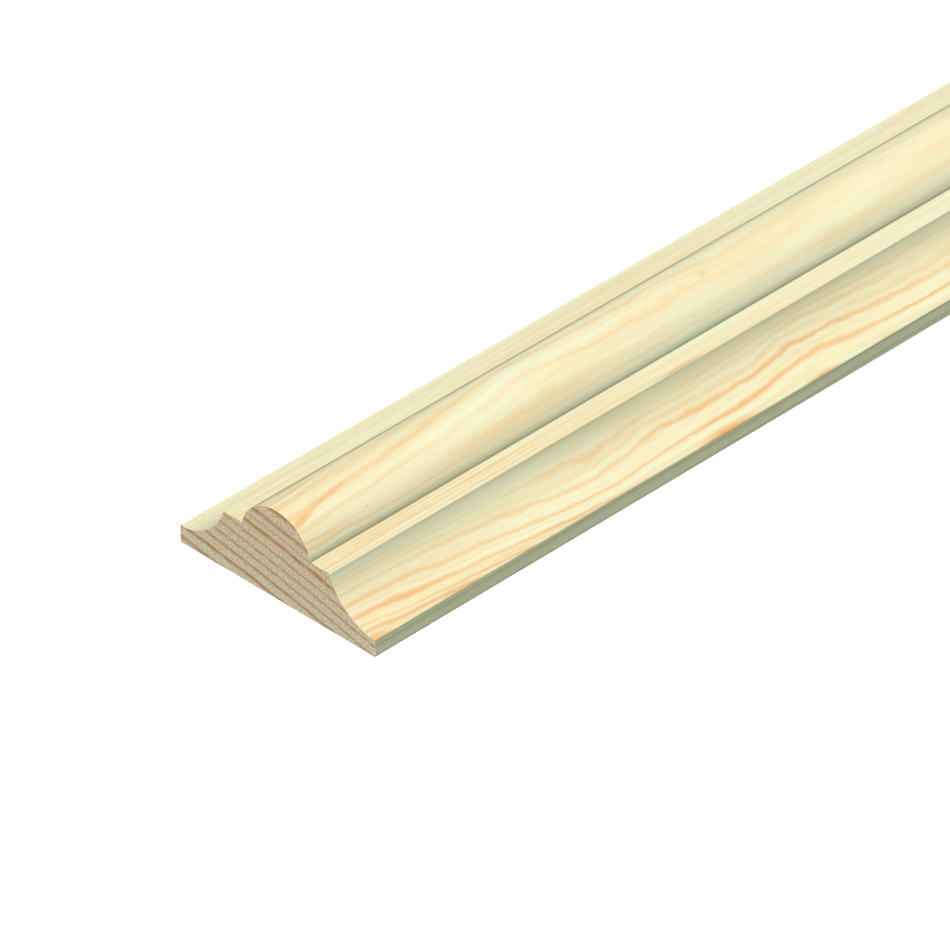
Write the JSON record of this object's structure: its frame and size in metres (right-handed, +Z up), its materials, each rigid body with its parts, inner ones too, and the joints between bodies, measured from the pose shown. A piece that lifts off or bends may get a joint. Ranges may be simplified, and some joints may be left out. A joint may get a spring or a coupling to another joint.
{
  "type": "decorative moulding",
  "caption": "Straight stick of planed softwood trim with a flat back: a round bead runs along the middle, and each side falls by a flat fillet and a cove to a thin square edge.",
  "frame": {"origin": "middle of the flat back, half way along the stick", "axes": "+X along the stick, +Y across its width, +Z up from the back to the crown of the bead"},
  "size_m": [2.4, 0.051, 0.02],
  "materials": {
    "softwood": "planed pine, left bare, with sawn ends"
  },
  "bodies": {
    "root": {"moulding": "softwood"}
  },
  "joints": []
}
